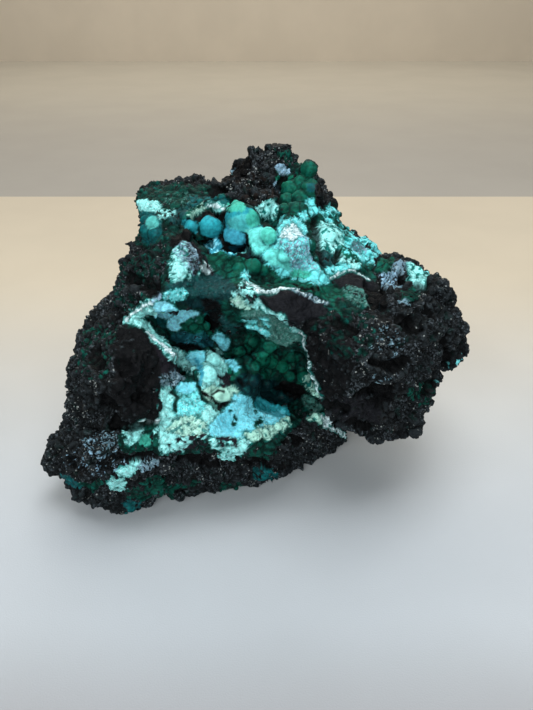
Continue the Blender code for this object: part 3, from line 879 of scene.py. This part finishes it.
def cells(points, size, seed, metric="DISTANCE"):
    """Flat-topped grains of a size, 0 between them, and each grain's own chance from 0 to 1."""
    found = [noise.voronoi(p, distance_metric=metric) for p in shifted(points, size, seed)]
    nearest = np.array([f[0][0] for f in found])
    second = np.array([f[0][1] for f in found])
    middle = np.array([f[1][0] for f in found])
    chance = np.sin(middle @ np.array((12.99, 78.23, 37.72))) * 437.58
    return np.sqrt(np.clip((second - nearest) * 2.2, 0, 1)), chance - np.floor(chance)


def step(value, low, high):
    """A smooth step from 0 at low to 1 at high."""
    part = np.clip((value - low) / (high - low), 0, 1)
    return part * part * (3 - 2 * part)


def ranks(values):
    """Each value's place among all, from 0 to 1."""
    return np.argsort(np.argsort(values)) / len(values)


class Paint:
    """What covers each point of the surface: its colour, and how it covers, frosts, shines and crumbles."""

    def __init__(self, points):
        self.points = points
        count = len(points)
        warp = np.stack([wave(points, *NOISES[name]) for name in ("warp_x", "warp_y", "warp_z")], axis=1)
        self.warped = points + 0.6 * warp
        self.fray = 0.35 * wave(points, *NOISES["fray"]) + 0.2 * wave(points, *NOISES["wide_fray"])
        speckle = wave(points, *NOISES["speckle"]) + 0.5 * wave(points, *NOISES["wide_speckle"])
        self.speckle = ranks(speckle)
        self.salt = np.random.default_rng(SALT_SEED).random(count)
        self.fleck = ranks(0.5 * speckle + self.salt)
        self.colour = np.tile(np.array(linear(PALETTE["bare"][0])), (count, 1))
        self.cover, self.chalk, self.velvet, self.smooth = np.zeros((4, count))
        self.grit = np.ones(count)

    def lay(self, name, weight):
        """Lays a colour on every point by a weight from 0 to 1."""
        rgb, chalk, velvet, grit = PALETTE[name]
        self.cover += weight * ((name != "bare") - self.cover)
        part = weight / np.maximum(self.cover, weight + 1e-6)
        self.colour += part[:, None] * (np.array(linear(rgb)) - self.colour)
        self.chalk += weight * (chalk - self.chalk)
        self.velvet += weight * (velvet - self.velvet)
        self.grit += weight * (grit - self.grit)

    def within(self, surface, pixels, reach):
        """The points near what the camera sees at some pixels, and how far each lies inside the reach."""
        each = np.broadcast_to(reach, len(pixels))
        found = [(seen_point(surface, across, down), r) for (across, down), r in zip(pixels, each)]
        found = [(seen[0], r * min(2.0, 1 / max(seen[1], 0.1))) for seen, r in found if seen]
        if not found:
            return np.zeros(0, int), np.zeros(0)
        places = [place for place, _ in found]
        reaches = np.array([r for _, r in found])
        tree = KDTree(len(places))
        for i, place in enumerate(places):
            tree.insert(place, i)
        tree.balance()
        low = np.min(places, axis=0) - 2 * np.min(reach) - 1
        high = np.max(places, axis=0) + 2 * np.min(reach) + 1
        near = np.nonzero(np.all((self.warped > low) & (self.warped < high), axis=1))[0]
        nearest = [tree.find(p) for p in self.warped[near].tolist()]
        return near, reaches[[n[1] for n in nearest]] - np.array([n[2] for n in nearest])

    def mark(self, surface, name, strength, pixels, reach, ragged=1.0):
        """Lays a colour within each pixel's reach of what the camera sees there."""
        near, spare = self.within(surface, pixels, reach)
        if not len(near):
            return
        spots = self.fleck if name in FLECKS else self.speckle
        share = strength if name in VEILS else step(strength - spots[near], -0.05, 0.05)
        weight = np.zeros(len(self.points))
        salt = ragged * (self.salt[near] - 0.5)
        fray = ragged * self.fray[near]
        if name in FRINGED and strength > 0.5:
            weight[near] = 0.8 * step(spare + 0.4 + 1.5 * fray + 0.5 * salt, -0.3, 0.3)
            self.lay("fringe", weight)
        weight[near] = share * step(spare + 1.2 * fray + 0.9 * salt * PALETTE[name][1], -0.25, 0.25)
        self.lay(name, weight)

    def dent(self, surface, radius, depth, pixels, slope, gap_shade):
        """How far the points sink in a gap, whose floor gets painted shade."""
        near, spare = self.within(surface, pixels, radius)
        sunk = np.zeros(len(self.points))
        if len(near):
            part = step(spare + 1.2 * self.fray[near], 0.0, slope * radius)
            sunk[near] = depth * part
            weight = np.zeros(len(self.points))
            weight[near] = gap_shade * step(part, 0.15, 0.6) * (1 - self.smooth[near])
            self.lay("soot", weight)
        return sunk

    def smooth_lumps(self, lumps):
        """Marks the lumps as smooth, and gives how much each point lies in the crease round a lump."""
        nearest, second = np.full((2, len(self.points)), FAR)
        for centre, radius in lumps:
            away = np.linalg.norm(self.points - centre, axis=1) - radius
            self.smooth = np.maximum(self.smooth, step(0.5 - away, 0.0, 0.4))
            second = np.minimum(second, np.maximum(nearest, away))
            nearest = np.minimum(nearest, away)
        crease = step(second - nearest, 0.7, 0.0) * step(second, 1.2, 0.5)
        return np.maximum(crease, 4 * self.smooth * (1 - self.smooth))


def cover_hidden(paint, points, unseen):
    """Green film, chalky patches and grey flecks on the sides that the camera doesn't see."""
    wide, torn, deep, chalk, chips, flecks = (
        wave(points, *NOISES[name]) for name in ("film", "torn", "deep", "chalk", "chips", "flecks"))
    film = step(wide + 0.5 * torn, 0.12, 0.3) * unseen
    deep = step(deep, 0.05, 0.3)
    paint.lay("moss", 0.85 * film * (1 - deep))
    paint.lay("bottle", 0.85 * film * deep)
    field = chalk + 0.4 * chips + 0.7 * paint.fray
    paint.lay("fringe", 0.8 * step(field, 0.2, 0.34) * unseen)
    chalk = step(field + 0.4 * (paint.salt - 0.5), 0.36, 0.44) * step(paint.speckle, 0.15, 0.3) * unseen
    paint.lay("turquoise", chalk * (1 - deep))
    paint.lay("mint", chalk * deep)
    flecks = step(flecks + 0.5 * paint.fray, 0.2, 0.4) * step(0.2 - paint.speckle, -0.05, 0.05)
    paint.lay("grey", flecks * unseen)


def painted(surface, points, normals, faces):
    """The coat of the whole skin: first the hidden sides, then what the photo shows."""
    paint = Paint(points)
    starts = ((points + RAY_START * normals) * MM).tolist()
    towards = (np.array(CAMERA_PLACE) - points).tolist()
    seen = np.array([not surface.ray_cast(*ray)[0] for ray in zip(starts, towards)])
    cover_hidden(paint, points, 1 - step(spread(seen, faces, SEEN_ROUNDS), *SEEN_EDGE))
    paint.mark(surface, "bottle", BAND_STRENGTH, patch_pixels(BAND, BAND_GRID), BAND_REACH)
    for (name, strength), outline in rows_of("".join(PATCHES)):
        pixels = patch_pixels(outline, PATCH_GRID)
        inner = np.minimum(insets(outline, pixels) / PIXELS_A_MM, INNER_REACH)
        paint.mark(surface, name, float(strength), pixels, EDGE_REACH + inner)
    for (name, strength, width), line in rows_of(STROKES):
        reach = float(width) / (2 * PIXELS_A_MM) + STROKE_SPARE
        paint.mark(surface, name, float(strength), stroke_pixels(line), reach, STROKE_RAGGED)
    return paint


def relief(points, paint):
    """How far each point moves out along its normal, and how much it lies in a seam between grains."""
    swell, lump, fine, pit, ridge, loose = (
        wave(points, *NOISES[name]) for name in ("swell", "lump", "fine", "pit", "ridge", "loose"))
    blocks, block = cells(points + 0.8 * paint.warped, *NOISES["block"], "MANHATTAN")
    crumbs, crumb = cells(points, *NOISES["crumb"])
    domes, dome = cells(points, *NOISES["dome"])
    knobs, knob = cells(points + 0.4 * paint.fray[:, None], *NOISES["knob"])
    bare = 1 - np.maximum(paint.chalk, paint.velvet)
    out = HEIGHTS["swell"] * swell * (0.3 + 0.7 * paint.grit) + HEIGHTS["lump"] * lump * paint.grit
    broken = HEIGHTS["block"] * (blocks * (0.2 + 0.8 * block) - 0.5)
    broken += (0.2 + 0.8 * step(loose, -0.6, 0.3)) * (HEIGHTS["crumb"] * crumbs * (0.3 + crumb) - 0.5)
    broken = broken + HEIGHTS["fine"] * fine - HEIGHTS["pit"] * step(pit, 0.3, 0.6)
    out += bare * paint.grit * (broken + HEIGHTS["ridge"] * (1 - 2 * np.abs(ridge) - 0.5))
    knobbly = HEIGHTS["knob"] * (knobs * (0.5 + 0.5 * knob) - 0.5) + 0.4 * (crumbs - 0.6)
    out += paint.chalk * (0.25 + paint.grit * knobbly)
    domed = HEIGHTS["dome"] * (domes * (0.5 + 0.5 * dome) - 0.5)
    out += paint.velvet * paint.grit * (domed + 0.2 * fine)
    seam = np.maximum(paint.velvet * step(domes, 0.75, 0.3), 0.7 * paint.chalk * step(knobs, 0.6, 0.2))
    rough = 1 - paint.smooth * (0.9 - 0.4 * paint.velvet * step(points[:, 2], *CREST_HEIGHTS))
    return out * rough, seam * rough * np.minimum(1, 1.6 * paint.grit)


def sunken(paint, surface, rows, slope, gap_shade):
    """How far the points sink in all gaps of a table."""
    return sum(paint.dent(surface, radius, depth, stroke_pixels(pixels_of(line)), slope, gap_shade)
               for radius, depth, line in rows)


def shaped(surface, points, normals, faces, paint):
    """The points with relief, gaps and notches in the CAD's box, and how much each lies in a seam."""
    sunk = sunken(paint, surface, DENTS, *GAP_EDGE)
    sunk += sunken(paint, surface, NOTCHES, *NOTCH_EDGE)
    inward = smoothed(normals, faces, *FINE_SMOOTHING)
    inward /= np.maximum(np.linalg.norm(inward, axis=1), 1e-6)[:, None]
    raised, seam = relief(points, paint)
    sunk = np.minimum(sunk, DEEPEST) * (1 - paint.smooth)
    points = points + normals * raised[:, None] - inward * sunk[:, None]
    return np.clip(points, np.array(CAD_LOW) / MM, np.array(CAD_HIGH) / MM), seam


def layers_of(points, faces, normals, paint, seam):
    """What the material reads at each point, and the points' broad shape."""
    fine = smoothed(points, faces, *FINE_SMOOTHING)
    broad = smoothed(points, faces, *BROAD_SMOOTHING)
    bend, broad_bend = (np.sum((mean - points) * normals, axis=1) for mean in (fine, broad))
    # Painted shade: hollow_shade grows in fine and broad hollows, in seams between grains and in creases
    # round lumps; ridge marks where a painted highlight goes
    hollow_shade = np.maximum(step(bend, *FINE_BEND), step(broad_bend, *BROAD_BEND))
    layers = {"coat": paint.colour, "cover": paint.cover, "chalk": paint.chalk, "velvet": paint.velvet,
              "hollow_shade": np.maximum(hollow_shade, seam), "ridge": step(-bend, *FINE_BEND), "smooth": paint.smooth}
    return layers, broad


def crust_points(points):
    """For each crust, true for the points that lie nearer to it than to the rock."""
    rock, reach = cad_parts["matrix"], CRUST_REACH_METRES
    result = {}
    for name in CRUSTS:
        low, high = (np.array(corner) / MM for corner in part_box(name))
        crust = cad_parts[name]
        near = np.all((points > low - CRUST_MARGIN) & (points < high + CRUST_MARGIN), axis=1)
        answer = np.zeros(len(points), bool)
        for i in np.nonzero(near)[0]:
            point = Vector(points[i]) * MM
            hit, place, _, _ = crust.closest_point_on_mesh(point, distance=reach)
            if hit:
                other, where, _, _ = rock.closest_point_on_mesh(point, distance=reach)
                answer[i] = not other or (place - point).length <= (where - point).length
        result[name] = answer
    return result


def homes_of(faces, owner, all_faces, places):
    """Each face's piece, by its place and by the crust that owns its corners."""
    lower, upper = (spread(owner[name], all_faces, OWNER_ROUNDS)[faces].mean(axis=1) > 0.5 for name in CRUSTS)
    across, along = places[faces].mean(axis=1)[:, :2].T
    front = along <= BACK_START
    parts = [lower, upper, front & (across < FRONT_CUTS[0]), front & (across < FRONT_CUTS[1]), front,
             across < BACK_CUT]
    return without_islands(np.select(parts, range(len(parts)), len(parts)), faces, len(places))


def store(data, name, values):
    """Keeps a number or a colour for each point of a mesh, for its material."""
    kind, key = ("FLOAT_COLOR", "color") if values.ndim == 2 else ("FLOAT", "value")
    if values.ndim == 2:
        values = np.concatenate([values, np.ones((len(values), 1))], axis=1)
    layer = data.attributes.new(name, kind, "POINT")
    layer.data.foreach_set(key, values.astype(np.float32).ravel())


def piece_of(name, points, faces, normals, layers):
    """One piece made of some of the skin's faces, shaded as part of the whole."""
    used, index = np.unique(faces, return_inverse=True)
    data = bpy.data.meshes.new(name)
    data.from_pydata((points[used] * MM).tolist(), [], index.reshape(-1, 4).tolist())
    data.shade_smooth()
    for key, values in layers.items():
        store(data, key, values[used])
    data.normals_split_custom_set_from_vertices(normals[used].tolist())
    return shown(name, data)


def make_specimen():
    """The rock and its crusts, made as one skin and then split into pieces."""
    data, lumps = build_skin()
    surface = shown("surface", data)
    bpy.context.view_layer.update()
    faces = faces_of(data)
    points = smoothed(read(data.vertices, "co") / MM, faces, *SKIN_SMOOTHING)
    owner = crust_points(points)
    set_points(data, points)
    normals = read(data.vertex_normals, "vector")
    bpy.context.view_layer.update()

    paint = painted(surface, points, normals, faces)
    crease = paint.smooth_lumps(lumps)
    points, seam = shaped(surface, points, normals, faces, paint)
    set_points(data, points)
    normals = read(data.vertex_normals, "vector")
    layers, broad = layers_of(points, faces, normals, paint, np.maximum(seam, crease))
    bpy.data.objects.remove(surface)

    whole = faces[largest_part(faces, len(points))]
    homes = homes_of(whole, owner, faces, broad)
    for home, (name, node, slot) in enumerate(PIECES):
        piece = piece_of(name, points, whole[homes == home], normals, layers)
        piece.data.materials.append(stone_material(name + "_stone"))
        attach(piece, "root")
        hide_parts(node)


class Shader:
    """Short names for making and joining material nodes."""

    def __init__(self, name):
        self.material = bpy.data.materials.new(name)
        self.material.use_nodes = True
        self.tree = self.material.node_tree
        self.tree.nodes.clear()
        self.place = self.node("ShaderNodeTexCoord").outputs["Object"]

    def node(self, kind, values=None, **settings):
        """A node with its settings, whose sockets have values or are linked to other sockets."""
        made = self.tree.nodes.new(kind)
        for key, value in settings.items():
            setattr(made, key, value)
        for key, value in (values or {}).items():
            if isinstance(value, bpy.types.NodeSocket):
                self.tree.links.new(value, made.inputs[key])
            else:
                made.inputs[key].default_value = value
        return made

    def layer(self, name, output="Fac"):
        """What the mesh keeps for each point under a name."""
        return self.node("ShaderNodeAttribute", attribute_name=name).outputs[output]

    def math(self, operation, a, b):
        """The result of an operation on two numbers or sockets."""
        return self.node("ShaderNodeMath", {0: a, 1: b}, operation=operation).outputs[0]

    def times(self, a, b):
        return self.math("MULTIPLY", a, b)

    def rest(self, value):
        """What a value leaves of 1."""
        return self.math("SUBTRACT", 1.0, value)

    def mix(self, part, a, b):
        return self.node("ShaderNodeMix", {0: part, 6: a, 7: b}, data_type="RGBA").outputs[2]

    def scale(self, colour, amount):
        return self.node("ShaderNodeVectorMath", {0: colour, 3: amount}, operation="SCALE").outputs[0]

    def range(self, value, low, high, new_low=0.0, new_high=1.0):
        """A smooth step from one value to another."""
        made = self.node("ShaderNodeMapRange", {0: value, 1: low, 2: high, 3: new_low, 4: new_high})
        made.interpolation_type = "SMOOTHSTEP"
        return made.outputs[0]

    def noise(self, size, detail=2.0, rough=0.55):
        values = {"Vector": self.place, "Scale": 1 / (size * MM), "Detail": detail, "Roughness": rough}
        return self.node("ShaderNodeTexNoise", values).outputs["Fac"]

    def spots(self, size, low, high, most, detail=3.0, rough=0.55, least=0.0):
        """Patches of noise of a size, which fade from the least to the most strength."""
        return self.range(self.noise(size, detail, rough), low, high, least, most)

    def cells(self, size, feature="F1"):
        values = {"Vector": self.place, "Scale": 1 / (size * MM)}
        return self.node("ShaderNodeTexVoronoi", values, feature=feature)

    def finish(self, values, height, strength, depth):
        """The material, once its shader has some values and bumps of a depth."""
        bump = self.node("ShaderNodeBump", {"Strength": strength, "Distance": depth * MM, "Height": height})
        skin = self.node("ShaderNodeBsdfPrincipled", {**values, "Normal": bump.outputs[0]})
        self.node("ShaderNodeOutputMaterial", {"Surface": skin.outputs[0]})
        return self.material


def colour_of(colour):
    """A socket's colour from an sRGB one given from 0 to 255."""
    return (*linear(colour), 1.0)


def bare_rock(s, ridge, speck):
    """Black rock with brown and green stains, pale grit in zones, a painted highlight on ridges, and bright
    specks painted as glints.
    """
    rock = s.mix(s.spots(1.3, 0.3, 0.75, 1.0, 4, 0.65), colour_of(BLACK), colour_of(DARK_GREY))
    rock = s.mix(s.spots(6.0, 0.58, 0.7, 0.4), rock, colour_of(BROWN_STAIN))
    rock = s.mix(s.spots(3.0, 0.58, 0.68, 0.5), rock, colour_of(GREEN_STAIN))
    grit = s.times(s.spots(0.7, 0.52, 0.64, 1.0, 2, 0.65), s.spots(7.0, 0.4, 0.62, 1.0, least=0.12))
    rock = s.mix(s.times(grit, 0.75), rock, colour_of(PALE_GRIT))
    # Painted highlight: ridges turn lighter grey
    rock = s.mix(s.times(ridge, 0.3), rock, colour_of(RIDGE_HIGHLIGHT))
    # Pale grains, painted bright as glints
    return s.mix(s.times(speck, 0.55), rock, colour_of(BRIGHT_SPECK_AND_GLINT))


def coating(s, hollow_shade, ridge, smooth):
    """The coat's own colour with lighter clouds, frost on chalk, glaze on velvet, cracks, painted shade in
    the hollows and a painted highlight on ridges.
    """
    coat, chalk, velvet = s.layer("coat", "Color"), s.layer("chalk"), s.layer("velvet")
    rugged = s.rest(smooth)
    rough_chalk = s.times(chalk, rugged)
    paint = s.scale(coat, s.spots(1.1, 0.3, 0.72, 1.22, least=0.72))
    paint = s.mix(s.times(s.spots(3.4, 0.5, 0.6, 0.5, 2), chalk), paint, s.scale(coat, 1.25))
    frost = s.times(s.spots(0.7, 0.52, 0.68, 0.45, 3, 0.7), rough_chalk)
    paint = s.mix(frost, paint, colour_of(FROST))
    paint = s.mix(s.times(s.spots(2.2, 0.5, 0.68, 0.35), velvet), paint, colour_of(GLAZE))
    edges = s.cells(1.9, "DISTANCE_TO_EDGE").outputs["Distance"]
    crack = s.times(s.range(edges, 0.02, 0.09, 1.0, 0.0), s.spots(5.0, 0.52, 0.62, 0.7, 2))
    paint = s.mix(s.times(crack, rugged), paint, s.scale(coat, 0.3))
    dots = s.times(s.spots(0.65, 0.6, 0.68, 0.6, 2, 0.6), rough_chalk)
    paint = s.mix(dots, paint, colour_of(GREEN_DOT))
    # Painted shade in the hollows: teal green on chalk, partly the crust's own green, and very dark green on
    # velvet
    paint = s.mix(s.times(hollow_shade, s.times(chalk, 0.75)), paint, colour_of(CHALK_HOLLOW_GREEN_SHADE))
    paint = s.mix(s.times(hollow_shade, s.times(velvet, 0.8)), paint, colour_of(VELVET_HOLLOW_SHADE))
    # Painted highlight: the coats turn up to a quarter lighter on ridges
    return s.scale(paint, s.range(ridge, 0.0, 1.0, 1.0, 1.25))


def stone_material(name):
    """Rock and coats, chosen by what the mesh keeps for each point."""
    s = Shader(name)
    hollow_shade, ridge, smooth = s.layer("hollow_shade"), s.layer("ridge"), s.layer("smooth")
    ragged = s.math("ADD", s.noise(0.55, 2), s.noise(2.0, 3))
    edge = s.math("ADD", s.layer("cover"), s.times(s.math("SUBTRACT", ragged, 1.0), 0.9))
    mask = s.range(edge, 0.42, 0.56)
    grain = s.cells(0.42)
    chance = s.node("ShaderNodeSeparateColor", {0: grain.outputs["Color"]}).outputs[0]
    # Rare grains of the bare rock, painted bright as glints, which are also smoother
    speck = s.math("GREATER_THAN", chance, s.rest(s.spots(8.0, 0.5, 0.72, 0.08, 2, least=0.003)))
    colour = s.mix(mask, bare_rock(s, ridge, speck), coating(s, hollow_shade, ridge, smooth))
    # Painted shade: hollows, seams and creases darken the colour, the bare rock more than the coats
    colour = s.scale(colour, s.rest(s.times(hollow_shade, s.range(mask, 0.0, 1.0, 0.5, 0.2))))
    glint = s.times(speck, s.rest(mask))
    roughness = s.math("SUBTRACT", s.spots(1.0, 0.3, 0.7, 0.85, 2, least=0.5), s.times(glint, 0.4))
    height = s.math("ADD", s.noise(0.8, 4, 0.7), s.times(grain.outputs["Distance"], -0.5))
    values = {"Base Color": colour, "Roughness": roughness, "Specular IOR Level": 0.1}
    return s.finish(values, height, s.range(smooth, 0.0, 1.0, 0.9, 0.15), 0.4)


def cloth_material(name, shades):
    """A pale cloth whose colour turns from one shade to the next along the stage's depth."""
    s = Shader(name)
    along = s.node("ShaderNodeSeparateXYZ", {0: s.place}).outputs["Y"]
    shade = colour_of(shades[0][2])
    for start, end, colour in shades[1:]:
        shade = s.mix(s.range(along, start * MM, end * MM), shade, colour_of(colour))
    shade = s.mix(s.spots(90, 0.3, 0.7, 0.06), shade, colour_of(CLOTH_CLOUD))
    height = s.math("ADD", s.noise(0.45, 1), s.times(s.noise(30, 2), 4.0))
    return s.finish({"Base Color": shade, "Roughness": 0.9}, height, 0.25, 0.2)


def sheet(name, corners, material):
    """A flat sheet of the stage."""
    data = bpy.data.meshes.new(name)
    data.from_pydata([tuple(c * MM for c in corner) for corner in corners], [], [(0, 1, 2, 3)])
    data.materials.append(material)
    piece = shown(name, data)


def make_stage():
    """The floor and the backdrop."""
    near, far, side, top = FLOOR_START, ROOM_END, STAGE_SIDE, BACKDROP_TOP
    sheet("floor", [(-side, near, 0), (side, near, 0), (side, far, 0), (-side, far, 0)],
          cloth_material("pale_floor", FLOOR_SHADES))
    sheet("backdrop", [(-side, far, 0), (side, far, 0), (side, far, top), (-side, far, top)],
          cloth_material("pale_backdrop", BACKDROP_SHADES))


def make_lights():
    """The area lights and the dim, even light of the room."""
    for name, place, target, size, watts, colour in LIGHTS:
        data = bpy.data.lights.new(name, "AREA")
        data.shape = "RECTANGLE"
        data.size, data.size_y = size[0] * MM, size[1] * MM
        data.energy = watts
        data.color = colour
        lamp = shown(name, data)
        lamp.location = Vector(place) * MM
        lamp.rotation_euler = (Vector(target) - Vector(place)).to_track_quat("-Z", "Y").to_euler()
    world = bpy.data.worlds.new("room")
    bpy.context.scene.world = world
    world.use_nodes = True
    background = world.node_tree.nodes["Background"]
    background.inputs["Color"].default_value = ROOM_COLOUR
    background.inputs["Strength"].default_value = ROOM_STRENGTH


def make_camera():
    """The photo's camera."""
    data = bpy.data.cameras.new("camera")
    data.sensor_fit = "HORIZONTAL"
    data.angle = 2 * math.atan(PHOTO_WIDTH / 2 / FOCAL_PIXELS)
    camera = shown("camera", data)
    camera.location = CAMERA_PLACE * MM
    camera.rotation_euler = (CAMERA_TILT, 0, 0)
    bpy.context.scene.camera = camera
    bpy.context.scene.view_settings.view_transform = "Standard"


make_camera()
make_specimen()
make_stage()
make_lights()
